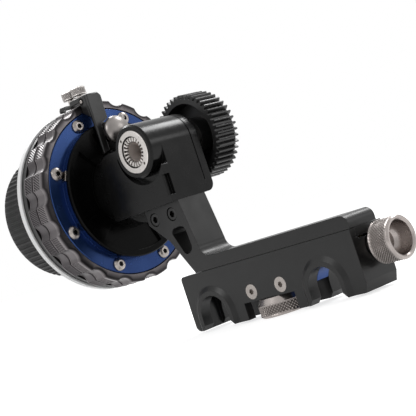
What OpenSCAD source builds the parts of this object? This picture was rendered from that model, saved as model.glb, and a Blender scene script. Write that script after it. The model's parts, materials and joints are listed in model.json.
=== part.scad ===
// Follow focus unit for 15 mm support rods, built as the real one comes apart.
// +X runs along the sliding bar towards its lock knob, +Y runs along the rods
// towards the drive gear, +Z is up. The origin lies midway between the rod
// axes, on the plane of the rod block's front face. Millimetres.

/* [Rods] */
// Diameter of the support rods
rod_d = 15; // [14:0.5:16]
// Distance between the two rod centres
rod_spacing = 60; // [58:1:64]
// Radial clearance of the saddles round the rods
rod_clearance = 0.05; // [0.02:0.01:0.15]

/* [Rod block] */
// How far the block runs past the left rod's centre
block_left = 14.2; // [12.5:0.1:18]
// How far the block runs past the right rod's centre
block_right = 18.3; // [17.5:0.1:22]
// Height of the block's top above the rod centres
block_top = 17.3; // [16.5:0.1:20]
// Depth of the block's foot below the rod centres
block_foot = 5.4; // [4.5:0.1:7]
// Length of the block along the rods
block_depth = 17.5; // [16.5:0.1:22]
// Thickness of the wall in front of the clamp bar
front_wall = 3.8; // [3.4:0.1:5]
// Width of the slot that holds the clamp bar
bar_slot = 6.6; // [6:0.1:8]
// How far the collars stand proud of the front face
collar_proud = 1.2; // [0.6:0.1:2]
// Width of each collar's flat face round its saddle
collar_land = 1.9; // [1.2:0.1:2.4]
// Extra width of each collar at its foot
collar_flare = 1.9; // [0.8:0.1:2.4]
// Lead-in chamfer at the mouth of each saddle
saddle_lead = 1.9; // [1:0.1:2.4]

/* [Rod clamp] */
// Depth that the clamp bar reaches below the saddles' roof
bar_height = 7.4; // [6.5:0.1:7.8]
// Travel of the clamp bar
bar_travel = 1; // [0.5:0.1:1.2]
// Distance between the two guide screws
guide_spacing = 15.8; // [14:0.1:18]
// Diameter of the clamp knob
clamp_knob_d = 20; // [16:0.2:21]
// Height of the clamp knob's knurled rim
clamp_knob_h = 4.4; // [3.5:0.1:6]
// Diameter of the clamp knob's screw
clamp_screw_d = 4; // [3:0.5:4.5]

/* [Sliding bar and arm] */
// Height of the sliding bar
bar_h = 5.2; // [4.5:0.1:6.5]
// Depth of the arm and bar along the rods
arm_depth = 14.8; // [14.2:0.1:16.5]
// Half width of the dovetail at its narrow neck
tail_neck = 4; // [3.4:0.1:4.2]
// Extra half width of the dovetail at its root
tail_flare = 1.2; // [0.8:0.1:1.4]
// Height of the dovetail
tail_h = 3.2; // [2.4:0.1:3.4]
// Distance from the bar's right end to the arm's inner face
bar_reach = 76.8; // [74:0.2:79]
// Radius of the fillet between arm and bar
arm_fillet = 5; // [3:0.5:6]
// Radius of the bar's outer corner
bar_corner = 3.5; // [2:0.1:4.5]

/* [Lock knob] */
// Diameter of the knurled lock knob
lock_knob_d = 15.8; // [14:0.2:16]
// Length of the knurled lock knob
lock_knob_l = 9.9; // [9:0.1:13]
// Diameter of the lock knob's screw
lock_screw_d = 5; // [4:0.5:5]
// Travel of the lock strip
lock_travel = 0.8; // [0.4:0.1:1]

/* [Gearbox] */
// Height of the drive axle above the rod centres
axle_z = 70.5; // [70:0.1:72]
// Distance of the drive axle to the left of the origin
axle_left = 42; // [41:0.1:43]
// Outer radius of the housing round the drive axle
housing_r = 11; // [10.6:0.1:12]
// Height of the housing's underside above the rod centres
housing_bottom = 47; // [46:0.1:48]
// Front of the housing's flat face, behind the origin plane if positive
housing_front = -2.5; // [-3:0.1:-2]
// Front of the nose round the drive port
nose_front = -5; // [-6:0.1:-4.6]
// Plane of the seam between body and rear cover
seam_y = 17.5; // [17:0.1:18.5]
// Thickness of the rear cover
cover_t = 3.5; // [3.2:0.1:4.5]
// Distance from the wheel axle's housing end to the drive axle
housing_reach = 27; // [25:0.1:28]

/* [Drive gear] */
// Teeth of the drive gear
drive_teeth = 43; // [40:1:46]
// Face width of the drive gear
drive_w = 11.2; // [9:0.1:13]
// Gap between the rear cover and the drive gear
drive_gap = 4.8; // [2:0.1:6]
// Radius of the dish in the drive gear
dish_r = 14.3; // [12:0.1:14.4]
// Depth of the dish in the drive gear
dish_depth = 7; // [4:0.1:8]

/* [Drive port] */
// Radius of the port's bore
port_r = 4; // [3:0.1:4.2]
// Radius of the serrated socket
socket_r = 6.3; // [5.8:0.1:6.6]
// Radius of the spanner ring round the socket
ring_r = 8.8; // [8:0.1:9.2]
// Serrations in the socket
serrations = 22; // [16:2:28]

/* [Wheel head] */
// Distance of the wheel axis behind the origin plane
wheel_y = 15; // [14:0.1:16]
// Distance of the flange's face to the left of the origin
flange_left = 76.5; // [76:0.1:80]
// Radius of the flange
flange_r = 29.8; // [28:0.1:30]
// Thickness of the flange
flange_t = 1.8; // [1.5:0.1:3]
// Radius of the flange's hub
hub_r = 17.2; // [14:0.1:17.3]
// Radius of the drum under the stop rings
drum_r = 33.4; // [33:0.1:34]
// How far the drum's face stands out past the drum
drum_lip = 3.1; // [2.8:0.1:3.6]
// Screws round the drum
drum_screws_n = 8; // [6:1:10]

/* [Stop rings] */
// How far the stop rings stand out past the drum's face
stop_wall = 3.5; // [3:0.1:4.5]
// Width of the front stop ring
stop_a_w = 7.2; // [6:0.1:9]
// Width of the rear stop ring
stop_b_w = 6.2; // [5:0.1:8]
// Scallops round each stop ring
scallops = 18; // [12:1:20]
// Depth of each scallop
scallop_depth = 1.7; // [0.8:0.1:1.9]
// Radius of the cutter that leaves each scallop
scallop_cut_r = 5; // [3.5:0.1:6]

/* [Hand wheel] */
// How far the marking disc lies inside the stop rings' rim
disc_inset = 0.2; // [0:0.1:1.5]
// Thickness of the marking disc
disc_t = 3.2; // [2:0.1:5]
// Radius of the rubber grip
grip_r = 28.8; // [27:0.1:32]
// Length of the rubber grip
grip_l = 29.5; // [20:0.5:34]
// Ribs round the grip
grip_ribs = 72; // [48:4:90]
// Depth of the grooves between the ribs
rib_depth = 0.8; // [0.4:0.1:1.2]

/* [Stop bracket] */
// Width of the post
post_w = 7.8; // [7:0.1:8.5]
// Thickness of the post
post_t = 2.5; // [2.2:0.1:4]
// Gap between the bridge and the stop rings
bridge_gap = 0.5; // [0.4:0.1:1.5]
// Thickness of the bridge
bridge_t = 2.6; // [2.2:0.1:4]
// Diameter of the thumbscrew heads
thumb_d = 6; // [5:0.1:6.6]
// Height of the thumbscrew heads
thumb_h = 3.8; // [3:0.1:5]
// Diameter of the domed knob
dome_d = 12.4; // [11:0.2:12.6]

/* [Clearances] */
// Radial clearance of a shaft in its bearing
running = 0.05; // [0.03:0.01:0.08]
// Gap between sliding faces
sliding = 0.15; // [0.1:0.01:0.25]
// Gap between parts that turn past each other
passing = 0.3; // [0.2:0.05:0.4]

/* [Hidden] */
$fn = 96;
eps = 0.01;
// tooth counts and modules of the inner train, which the axle's size fixes
axle_teeth = 26;
idler_teeth = 16;
idler_module = 0.5;
bevel_teeth = 16;
bevel_module = 0.5;
// module of the drive gear, the standard one for lens gears
drive_module = 0.8;
rod_r = rod_d / 2;
saddle_r = rod_r + rod_clearance;
block_x0 = -rod_spacing / 2 - block_left;
block_x1 = rod_spacing / 2 + block_right;
slot_y0 = front_wall;
slot_y1 = front_wall + bar_slot;
slot_x = rod_spacing / 2 + saddle_r + 2;
slot_roof = saddle_r + 2.95;
bar_top = slot_roof - 0.6;
bar_foot = bar_top - bar_height;
knob_x = 0.3;
knob_y = (slot_y0 + slot_y1) / 2;
knob_r = clamp_knob_d / 2;
recess_top = 1.2;
knob_top = recess_top - 0.1;
shoulder_h = 2.8;
recess_w = clamp_knob_d + 7.4;
guide_z = 4.9;
guide_r = 1.5;
guide_head_r = 3;
end_bevel = 1.4;
end_bevel_h = 3.7;
lock_y = 10.8;
lock_z = 9.4;
lock_screw_r = lock_screw_d / 2;
lock_gap = 2.6;
foot_x0 = block_x1 - 6.1;
foot_w = 3;
tail_y = arm_depth / 2;
brace_x = 15.2;
brace_z = 15;
groove_floor = block_top - tail_h - 0.8;
strip_t = 0.6;
bar_x1 = block_x1 + 0.5;
bar_z0 = block_top + sliding;
bar_z1 = bar_z0 + bar_h;
arm_x1 = bar_x1 - bar_reach;
arm_top_x1 = -axle_left + housing_r;
arm_top_x0 = -axle_left - housing_r + 0.5;
arm_screw_z = housing_bottom - 4.5;
arm_screw_x = [arm_top_x1 - 6.2, arm_top_x1 - 17];
wheel_z = axle_z - (axle_teeth + idler_teeth) * idler_module / 2;
housing_x1 = -axle_left + housing_r;
housing_x0 = -axle_left - housing_reach;
cover_y1 = seam_y + cover_t;
lip_y0 = 6;
lip_h = 3.4;
lip_t = 2;
tongue_z0 = housing_bottom - 9;
tongue_y0 = 6.6;
cavity_r = housing_r - 2.4;
cavity_y0 = 4.2;
cavity_z0 = housing_bottom + 3.5;
idler_r = 1.6;
bush_r = 2.4;
seat_r = axle_z - wheel_z - bush_r - 0.6;
axle_r = port_r + 1;
spur_y0 = cavity_y0 + 0.4;
spur_y1 = spur_y0 + 3;
drive_y0 = cover_y1 + drive_gap;
drive_y1 = drive_y0 + drive_w;
port_y1 = drive_y1 - 6;
cap_stem_r = 2;
neck_back_r = drive_y0 - wheel_y - 0.8;
bevel_r = bevel_teeth * bevel_module / 2;
bevel_h = 1.8;
slim_r = 1.3;
neck_x = -axle_left - housing_r - 0.2;
wheel_axle_r = 4;
inner_seat_r = wheel_axle_r + 2;
outer_bearing_w = 5;
stub_r = 2;
flange_x = -flange_left;
boss_x = flange_x - flange_t;
face_x = boss_x - 2.7;
face_t = 3;
drum_face_r = drum_r + drum_lip;
drum_screws_r = (flange_r + drum_face_r) / 2 - 0.25;
stop_r = drum_face_r + stop_wall;
disc_r = stop_r - disc_inset;
stop_a_x0 = face_x - stop_a_w;
stop_b_x1 = stop_a_x0 - passing;
stop_b_x0 = stop_b_x1 - stop_b_w;
sleeve_r = drum_r + running + 1.85;
chamber = 1.9;
lug_angle = 170;
lug_width = 10;
plate_x1 = stop_b_x0 - passing;
plate_t = 3;
disc_x1 = plate_x1 - plate_t;
disc_x0 = disc_x1 - disc_t;
grip_x0 = disc_x0 - grip_l;
core_r = grip_r - 2.2;
post_y0 = wheel_y - 7;
post_x1 = flange_x + post_t;
bridge_z0 = wheel_z + max(stop_r, disc_r) + bridge_gap;
bridge_z1 = bridge_z0 + bridge_t;
bridge_x0 = stop_b_x0 + 0.4;
dome_y = wheel_y + 1.4;
dome_z = wheel_z + 24.5;
dome_stem_r = 2;
thumb_y = post_y0 + post_w / 2 + 0.5;

black = [0.10, 0.10, 0.11];
silver = [0.80, 0.79, 0.77];
blue = [0.16, 0.28, 0.62];

// ---- placing -------------------------------------------------------------

// A flat shape drawn in X and Z, from y0 to y1.
module plate_xz(y0, y1)
    translate([0, y1, 0]) rotate([90, 0, 0]) linear_extrude(y1 - y0) children();

// A flat shape drawn in Y and Z, from x0 to x1.
module plate_yz(x0, x1)
    translate([x0, 0, 0]) rotate([90, 0, 90]) linear_extrude(x1 - x0) children();

// A profile of [radius, x] points turned round an axis along X.
module turn_x(y, z, profile)
    translate([0, y, z]) rotate([0, 90, 0]) rotate_extrude() polygon(profile);

// A profile of [radius, y] points turned round an axis along Y.
module turn_y(x, z, profile)
    translate([x, 0, z]) rotate([-90, 0, 0]) rotate_extrude() polygon(profile);

// A profile of [radius, z] points turned round an axis along Z.
module turn_z(x, y, profile)
    translate([x, y, 0]) rotate_extrude() polygon(profile);

// A round bar along X.
module bar_x(y, z, r, x0, x1)
    translate([x0, y, z]) rotate([0, 90, 0]) cylinder(h = x1 - x0, r = r);

// A round bar along Y.
module bar_y(x, z, r, y0, y1)
    translate([x, y0, z]) rotate([-90, 0, 0]) cylinder(h = y1 - y0, r = r);

// A round bar along Z.
module bar_z(x, y, r, z0, z1)
    translate([x, y, z0]) cylinder(h = z1 - z0, r = r);

// A block between two corners.
module block(a, b)
    translate(a) cube([b[0] - a[0], b[1] - a[1], b[2] - a[2]]);

// A ring between two radii round an axis along X.
module ring_x(y, z, r0, r1, x0, x1)
    turn_x(y, z, [[r0, x0], [r1, x0], [r1, x1], [r0, x1]]);

// A ring between two radii round an axis along Y.
module ring_y(x, z, r0, r1, y0, y1)
    turn_y(x, z, [[r0, y0], [r1, y0], [r1, y1], [r0, y1]]);

// What a rounded corner of radius r takes off, with its point at the origin
// and the material towards +x, +y.
module corner(r)
    difference() {
        translate([-1, -1]) square(r + 1);
        translate([r, r]) circle(r);
    }

// ---- gear teeth ----------------------------------------------------------

function polar(r, a) = [r * cos(a), r * sin(a)];
// Angle between the start of an involute and its point at radius r.
function roll(base, r) = r <= base ? 0
    : sqrt(r * r / (base * base) - 1) * 180 / PI - acos(base / r);

// One flank from the root to the tip, side +1 or -1.
function flank(base, root, tip, half, side, n) = [for (i = [0:n])
    let (k = side > 0 ? n - i : i,
         r = root + (tip - root) * k / n)
    polar(r, side * (half - roll(base, max(r, base))))];

function gear_points(teeth, m, rise, fall, backlash) =
    let (pitch = teeth * m / 2,
         base = pitch * cos(20),
         half = 90 / teeth - backlash / pitch * 90 / PI + roll(base, pitch))
    [for (t = [0:teeth - 1], side = [-1, 1],
          p = flank(base, pitch - fall * m, pitch + rise * m, half, side, 5))
        let (a = 360 * t / teeth)
        [p[0] * cos(a) - p[1] * sin(a), p[0] * sin(a) + p[1] * cos(a)]];

// ---- rod block and clamp ---------------------------------------------------

module saddle_cut() {
    circle(saddle_r);
    translate([-saddle_r, -block_foot - 1]) square([2 * saddle_r, block_foot + 1]);
    for (s = [-1, 1])
        translate([s * saddle_r, -block_foot])
            rotate(45) square(saddle_lead * sqrt(2), center = true);
}

module block_outline()
    difference() {
        polygon([
            [block_x0, block_top], [block_x0, -block_foot],
            [block_x1 - end_bevel, -block_foot],
            [block_x1, -block_foot + end_bevel_h], [block_x1, block_top]]);
        translate([block_x0, block_top]) mirror([0, 1]) corner(1.5);
        translate([block_x0, -block_foot]) corner(2.6);
        for (s = [-1, 1]) translate([s * rod_spacing / 2, 0]) saddle_cut();
        translate([knob_x - recess_w / 2, -block_foot - 1])
            square([recess_w, block_foot + 1 + recess_top]);
    }

// The raised collar round one saddle, with legs that run straight down.
module collar()
    difference() {
        face_r = saddle_r + collar_land;
        union() {
            turn_y(0, 0, [[0, eps], [0, -collar_proud], [face_r, -collar_proud],
                [face_r + collar_flare, 0], [face_r + collar_flare, eps]]);
            translate([0, 0, -block_foot]) linear_extrude(block_foot)
                polygon([[-face_r, -collar_proud], [face_r, -collar_proud],
                    [face_r + collar_flare, 0], [face_r + collar_flare, eps],
                    [-face_r - collar_flare, eps], [-face_r - collar_flare, 0]]);
        }
        plate_xz(-collar_proud - 1, 1) saddle_cut();
        block([-2 * saddle_r, -saddle_r, -block_foot - 2 * saddle_r],
            [2 * saddle_r, saddle_r, -block_foot]);
    }

// The dovetail's outline in Y and Z, grown by a gap, from its root up.
module tail(gap, top)
    polygon([
        [tail_y - tail_neck - tail_flare - gap, block_top - tail_h - gap],
        [tail_y + tail_neck + tail_flare + gap, block_top - tail_h - gap],
        [tail_y + tail_neck + gap, block_top],
        [tail_y + tail_neck + gap, top],
        [tail_y - tail_neck - gap, top],
        [tail_y - tail_neck - gap, block_top]]);

module clamp_block()
    color(black) difference() {
        union() {
            plate_xz(0, block_depth) block_outline();
            for (s = [-1, 1]) translate([s * rod_spacing / 2, 0, 0]) collar();
        }
        // slot for the clamp bar
        block([-slot_x, slot_y0, -block_foot - 1], [slot_x, slot_y1, slot_roof]);
        // dovetail groove, and the bed of the lock strip under it
        plate_yz(block_x0 - 1, block_x1 + 1) tail(sliding, block_top + 1);
        block([-slot_x, tail_y - tail_neck, groove_floor],
            [block_x1 + 1, tail_y + tail_neck, block_top]);
        // pocket for the strip's foot and bore for the lock screw
        block([foot_x0 - sliding, lock_y - 3.2, lock_z - 3.6],
            [foot_x0 + foot_w + lock_travel + 2 * sliding, lock_y + 3.2, groove_floor + 1]);
        bar_x(lock_y, lock_z, lock_screw_r + running, foot_x0 - 1.6, block_x1 + 1);
        // countersinks and holes of the guide screws
        for (x = [-1, 1] * guide_spacing / 2) {
            turn_y(knob_x + x, guide_z, [[0, -1], [guide_head_r, -1],
                [guide_head_r, 0], [guide_r, guide_head_r - guide_r],
                [guide_r, block_depth - 2.5], [0, block_depth - 2.5]]);
        }
    }

module hex_socket(depth, across)
    cylinder(h = depth, d = across / cos(30), $fn = 6);

module guide_screws()
    color(silver) for (x = [-1, 1] * guide_spacing / 2)
        difference() {
            turn_y(knob_x + x, guide_z, [[0, 0], [guide_head_r - 0.05, 0],
                [guide_r, guide_head_r - guide_r - 0.05],
                [guide_r, block_depth - 3], [0, block_depth - 3]]);
            translate([knob_x + x, -1, guide_z]) rotate([-90, 0, 0])
                hex_socket(2.1, 2);
        }

module clamp_bar()
    color(blue) difference() {
        plate_xz(slot_y0 + sliding, slot_y1 - sliding) difference() {
            translate([-rod_spacing / 2 - 1.5, bar_foot])
                square([rod_spacing + 3, bar_height]);
            for (s = [-1, 1])
                translate([s * rod_spacing / 2, 0]) circle(saddle_r);
            // slots in which the bar slides past the guide screws
            for (x = [-1, 1] * guide_spacing / 2)
                translate([knob_x + x, guide_z]) {
                    circle(guide_r + sliding);
                    translate([-guide_r - sliding, 0])
                        square([2 * (guide_r + sliding), bar_travel + sliding]);
                    translate([0, bar_travel + sliding])
                        circle(guide_r + sliding);
                }
        }
        bar_z(knob_x, knob_y, clamp_screw_d / 2 + running, -1, bar_top + 1);
    }

module clamp_knob() {
    z0 = knob_top - shoulder_h - clamp_knob_h;
    color(silver) turn_z(knob_x, knob_y, [
        [0, z0], [knob_r - 0.6, z0], [knob_r, z0 + 0.6],
        [knob_r, knob_top - shoulder_h], [knob_r - 1.5, knob_top],
        [clamp_screw_d / 2, knob_top], [clamp_screw_d / 2, bar_top - 0.4],
        [0, bar_top - 0.4]]);
}

module lock_knob() {
    r = lock_knob_d / 2;
    x0 = block_x1 + lock_gap;
    x1 = x0 + lock_knob_l;
    color(silver) turn_x(lock_y, lock_z, [
        [0, foot_x0 - 1], [lock_screw_r - 1, foot_x0 - 1], [lock_screw_r, foot_x0],
        [lock_screw_r, block_x1 + passing], [r - 3, block_x1 + passing],
        [r - 2.6, x0], [r - 1.8, x0], [r, x0 + 1.6], [r, x1 - 3],
        [r - 0.8, x1 - 0.3], [r - 1.1, x1], [r - 1.5, x1],
        [r - 2.1, x1 - 0.8], [r - 2.4, x1 - 5], [r - 4.2, x1 - 7], [0, x1 - 7]]);
}

module lock_strip()
    color([0.62, 0.58, 0.5]) difference() {
        union() {
            block([-slot_x + 2, tail_y - tail_neck + sliding, groove_floor],
                [foot_x0 + foot_w, tail_y + tail_neck - sliding, groove_floor + strip_t]);
            block([foot_x0, lock_y - 3, lock_z - 3.4],
                [foot_x0 + foot_w, lock_y + 2.2, groove_floor + eps]);
        }
        bar_x(lock_y, lock_z, lock_screw_r + running, foot_x0 - 1, foot_x0 + foot_w + 1);
    }

// ---- arm -----------------------------------------------------------------

// The slanted window through the brace, as four round corners and a filling.
module arm_window()
    polygon([[-40.4, 34.6], [-40.2, 35.8], [-39, 36.8], [-35, 37.1],
        [-33, 36.5], [-32.1, 35], [-31.6, 28.4], [-32.3, 26.7], [-33.9, 25.8],
        [-35.8, 25.6], [-36.9, 26.3]]);

module arm_outline()
    difference() {
        union() {
            polygon([[arm_top_x0, housing_bottom], [arm_top_x0, housing_bottom - 6],
                [arm_x1 - brace_x, bar_z0 + brace_z], [arm_x1 - 6.3, bar_z0],
                [bar_x1, bar_z0], [bar_x1, bar_z1],
                [arm_x1 + arm_fillet, bar_z1], [arm_x1, bar_z1],
                [arm_x1, bar_z1 + arm_fillet], [arm_top_x1, housing_bottom]]);
            // fillet between the upright and the bar
            translate([arm_x1, bar_z1]) difference() {
                square(arm_fillet);
                translate([arm_fillet, arm_fillet]) circle(arm_fillet);
            }
        }
        translate([bar_x1, bar_z1]) rotate(180) corner(bar_corner);
        arm_window();
    }

module arm()
    color(black) difference() {
        union() {
            plate_xz(0, arm_depth) arm_outline();
            plate_yz(arm_x1 - 6.3, bar_x1 - 1) tail(0, bar_z0 + eps);
        }
        // pocket that takes the gearbox's tongue from behind
        block([arm_top_x0 + 2.5, tongue_y0 - sliding, tongue_z0 - sliding],
            [arm_top_x1 - 2.2, arm_depth + 1, housing_bottom + 1]);
        for (x = arm_screw_x) {
            bar_y(x, arm_screw_z, 2.8, -1, 2.6);
            bar_y(x, arm_screw_z, 1.6, -1, tongue_y0 + 1);
        }
    }

module arm_screws()
    color(black) for (x = arm_screw_x)
        difference() {
            turn_y(x, arm_screw_z, [[0, 0.2], [2.4, 0.2], [2.7, 0.5], [2.7, 2.6],
                [1.5, 2.6], [1.5, 11], [0, 11]]);
            translate([x, -0.8, arm_screw_z]) rotate([-90, 0, 0]) hex_socket(2.6, 2.5);
        }

// ---- gearbox ---------------------------------------------------------------

// Outline of the housing round the drive axle: round above, square below.
module housing_outline(r) {
    translate([-axle_left, axle_z]) circle(r);
    translate([-axle_left - r, housing_bottom])
        square([2 * r, axle_z - housing_bottom]);
}

module gearbox_body()
    color(black) difference() {
        union() {
            plate_xz(housing_front, seam_y) housing_outline(housing_r);
            block([housing_x0, housing_front, housing_bottom],
                [-axle_left, seam_y, wheel_z + 14]);
            // nose round the drive port
            turn_y(-axle_left, axle_z, [[0, 0], [housing_r, 0],
                [housing_r, nose_front + 0.8], [housing_r - 0.8, nose_front],
                [0, nose_front]]);
            // round neck that carries the flange
            bar_x(wheel_y, wheel_z, hub_r, flange_x, housing_x0 + 2);
            // round back of the neck, clear of the drive gear
            bar_x(wheel_y, wheel_z, neck_back_r, flange_x, neck_x);
            // tongue screwed to the arm
            block([arm_top_x0 + 2.7, tongue_y0, tongue_z0],
                [arm_top_x1 - 2.4, arm_depth, housing_bottom + 1]);
        }
        // groove round the nose, below the round top
        difference() {
            ring_y(-axle_left, axle_z, housing_r, housing_r + 2.8,
                housing_front - 1, housing_front + 3.4);
            block([-axle_left - 2 * housing_r, nose_front, axle_z],
                [-axle_left + 2 * housing_r, cover_y1, axle_z + 2 * housing_r]);
        }
        // notch in the front right edge
        block([housing_x1 - 1.6, housing_front - 1, housing_bottom + 2.8],
            [housing_x1 + 1, housing_front + 2.6, housing_bottom + 11.2]);
        // room for the gears, open to the rear
        plate_xz(cavity_y0, seam_y + 1) {
            translate([-axle_left, axle_z]) circle(cavity_r);
            translate([-axle_left - cavity_r, cavity_z0])
                square([2 * cavity_r, axle_z - cavity_z0]);
        }
        // seats of the spanner ring, the front bearing and the idler bush
        bar_y(-axle_left, axle_z, ring_r + 0.03, nose_front - 1, nose_front + 3);
        bar_y(-axle_left, axle_z, seat_r, nose_front - 1, cavity_y0 + 1);
        bar_y(-axle_left, wheel_z, bush_r, 1.6, cavity_y0 + 1);
        // seats of the wheel axle's bearings and the bore between them
        bar_x(wheel_y, wheel_z, seat_r, flange_x - 1, flange_x + outer_bearing_w);
        bar_x(wheel_y, wheel_z, wheel_axle_r + 0.4, flange_x, neck_x - 4);
        bar_x(wheel_y, wheel_z, inner_seat_r, neck_x - 4.6, neck_x + 1);
        bar_x(wheel_y, wheel_z, stub_r + 0.3, neck_x, -axle_left);
        // step for the rear cover's lip
        block([housing_x1 - lip_t, lip_y0, housing_bottom - 1],
            [housing_x1 + 1, seam_y + 1, housing_bottom + lip_h]);
        for (p = cover_screw_places) bar_y(p[0], p[1], 0.8, seam_y - 6, seam_y + 1);
        // hole into which the arm's screws reach
        for (x = arm_screw_x) bar_y(x, arm_screw_z, 1.5, tongue_y0 - 1, 11.3);
    }

cover_screw_places = [
    [-axle_left - housing_r + 1.2, housing_bottom + 2],
    [-axle_left - housing_r + 1.2, axle_z - 4],
    [-axle_left + housing_r - 3.4, housing_bottom + 1.7],
    [-axle_left, axle_z + housing_r - 1.3]];

module rear_cover()
    color(black) difference() {
        union() {
            plate_xz(seam_y, cover_y1) housing_outline(housing_r);
            block([housing_x1 - lip_t, lip_y0, housing_bottom],
                [housing_x1, seam_y + 1, housing_bottom + lip_h]);
        }
        // round lower rear edge
        plate_yz(-axle_left - housing_r - 1, housing_x1 + 1)
            translate([cover_y1, housing_bottom]) mirror([1, 0]) corner(cover_t);
        bar_y(-axle_left, axle_z, seat_r, seam_y - 1, seam_y + 2.3);
        bar_y(-axle_left, axle_z, axle_r + 0.5, seam_y - 1, cover_y1 + 1);
        bar_y(-axle_left, wheel_z, slim_r + running, seam_y - 1, seam_y + 2.6);
        // relief for the wheel's bevel gear
        bar_x(wheel_y, wheel_z, bevel_r + 0.9, -axle_left - cavity_r,
            -axle_left - bevel_r + bevel_h + 0.2);
        for (p = cover_screw_places) bar_y(p[0], p[1], 0.8, seam_y - 1, cover_y1 + 1);
    }

module cover_screws()
    color(black) for (p = cover_screw_places)
        bar_y(p[0], p[1], 0.8, seam_y - 5, cover_y1 - 0.4);

module spanner_ring() {
    y0 = nose_front - 0.2;
    color(silver) difference() {
        turn_y(-axle_left, axle_z, [
            [socket_r + 0.15, y0], [ring_r - 0.4, y0], [ring_r, y0 + 0.4],
            [ring_r, nose_front + 3], [socket_r + 0.15, nose_front + 3]]);
        for (a = [130, 310])
            bar_y(-axle_left + 7.5 * cos(a), axle_z + 7.5 * sin(a), 0.55, y0 - 1, y0 + 1.6);
    }
}

module front_bearing()
    color(silver) ring_y(-axle_left, axle_z, axle_r + running, seat_r,
        nose_front + 3.1, cavity_y0 - 0.2);

module rear_bearing()
    color(silver) ring_y(-axle_left, axle_z, axle_r + running, seat_r,
        seam_y + 0.1, seam_y + 2.3);

module drive_axle()
    color(silver) difference() {
        turn_y(-axle_left, axle_z, [
            [port_r, nose_front + 0.3], [socket_r, nose_front + 0.3],
            [socket_r, nose_front + 2.8], [axle_r, nose_front + 2.8],
            [axle_r, drive_y1], [cap_stem_r, drive_y1], [cap_stem_r, port_y1],
            [port_r, port_y1]]);
        // serrations in the socket's face
        for (k = [0:serrations - 1])
            translate([-axle_left, nose_front + 0.3, axle_z])
                rotate([0, 360 * k / serrations, 0])
                    translate([port_r + 0.45, 0, 0]) rotate([0, 0, 45])
                        translate([0.35, -0.35, -0.36])
                            cube([3, 3, 0.72]);
    }

module axle_gear()
    color(silver) plate_xz(spur_y0, spur_y1) translate([-axle_left, axle_z]) difference() {
        rotate(90 + 180 / axle_teeth)
            polygon(gear_points(axle_teeth, idler_module, 0.9, 1.15, 0.08));
        circle(axle_r);
    }

module drive_gear()
    color(black) difference() {
        plate_xz(drive_y0, drive_y1) translate([-axle_left, axle_z])
            polygon(gear_points(drive_teeth, drive_module, 1, 1.2, 0.1));
        ring_y(-axle_left, axle_z, axle_r + 3, dish_r, drive_y0 - 1, drive_y0 + dish_depth);
        ring_y(-axle_left, axle_z, axle_r + 3, dish_r, drive_y1 - 1.2, drive_y1 + 1);
        bar_y(-axle_left, axle_z, axle_r, drive_y0 - 1, drive_y1 + 1);
    }

module gear_cap()
    color(black) difference() {
        turn_y(-axle_left, axle_z, [
            [0, port_y1 + 1], [cap_stem_r, port_y1 + 1], [cap_stem_r, drive_y1],
            [axle_r + 2.4, drive_y1], [axle_r + 2.4, drive_y1 + 1.2],
            [axle_r + 1.8, drive_y1 + 1.8], [0, drive_y1 + 1.8]]);
        translate([-axle_left, drive_y1 + 0.5, axle_z]) rotate([-90, 0, 0])
            hex_socket(4, 4);
    }

module idler_bush()
    color([0.75, 0.6, 0.3]) ring_y(-axle_left, wheel_z, idler_r + running, bush_r,
        1.6, cavity_y0);

module idler_shaft()
    color(silver) turn_y(-axle_left, wheel_z, [
        [0, 1.9], [idler_r, 1.9], [idler_r, wheel_y - bevel_r - 0.6],
        [slim_r, wheel_y - bevel_r - 0.6], [slim_r, seam_y + 2.4], [0, seam_y + 2.4]]);

module idler_gear()
    color(silver) plate_xz(spur_y0, spur_y1) translate([-axle_left, wheel_z]) difference() {
        rotate(90) polygon(gear_points(idler_teeth, idler_module, 0.9, 1.15, 0.08));
        circle(idler_r);
    }

// A bevel gear standing on z = 0 with its cone's point bevel_r above.
module bevel(phase) {
    rotate(phase) linear_extrude(bevel_h, scale = (bevel_r - bevel_h) / bevel_r)
        polygon(gear_points(bevel_teeth, bevel_module, 0.55, 0.95, 0.16));
    translate([0, 0, -2]) cylinder(h = 2, r = bevel_r - 0.95 * bevel_module);
}

module idler_bevel()
    color(silver) difference() {
        translate([-axle_left, wheel_y - bevel_r, wheel_z]) rotate([-90, 0, 0])
            bevel(0);
        bar_y(-axle_left, wheel_z, idler_r, 0, wheel_y - bevel_r - 0.6);
        bar_y(-axle_left, wheel_z, slim_r, 0, wheel_y);
    }

module wheel_bevel()
    color(silver) difference() {
        translate([-axle_left - bevel_r, wheel_y, wheel_z]) rotate([0, 90, 0])
            bevel(180 / bevel_teeth);
        bar_x(wheel_y, wheel_z, stub_r, -axle_left - bevel_r - 3,
            -axle_left - bevel_r - 0.6);
    }

// ---- wheel head --------------------------------------------------------------

module wheel_axle()
    color(silver) turn_x(wheel_y, wheel_z, [
        [0, grip_x0 + 2], [wheel_axle_r, grip_x0 + 2],
        [wheel_axle_r, neck_x - 0.1], [stub_r, neck_x - 0.1],
        [stub_r, -axle_left - bevel_r - 0.6], [0, -axle_left - bevel_r - 0.6]]);

module inner_bearing()
    color(silver) ring_x(wheel_y, wheel_z, wheel_axle_r + running, inner_seat_r,
        neck_x - 4.6, neck_x - 0.1);

module outer_bearing()
    color(silver) ring_x(wheel_y, wheel_z, wheel_axle_r + running, seat_r,
        flange_x, flange_x + outer_bearing_w);

// A flat ring sector between two radii, from angle a0 to a1 (under 180).
module sector(r0, r1, a0, a1)
    intersection() {
        difference() {
            circle(r1);
            circle(r0);
        }
        polygon([[0, 0], polar(2 * r1, a0), polar(2 * r1, (a0 + a1) / 2),
            polar(2 * r1, a1)]);
    }

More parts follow.
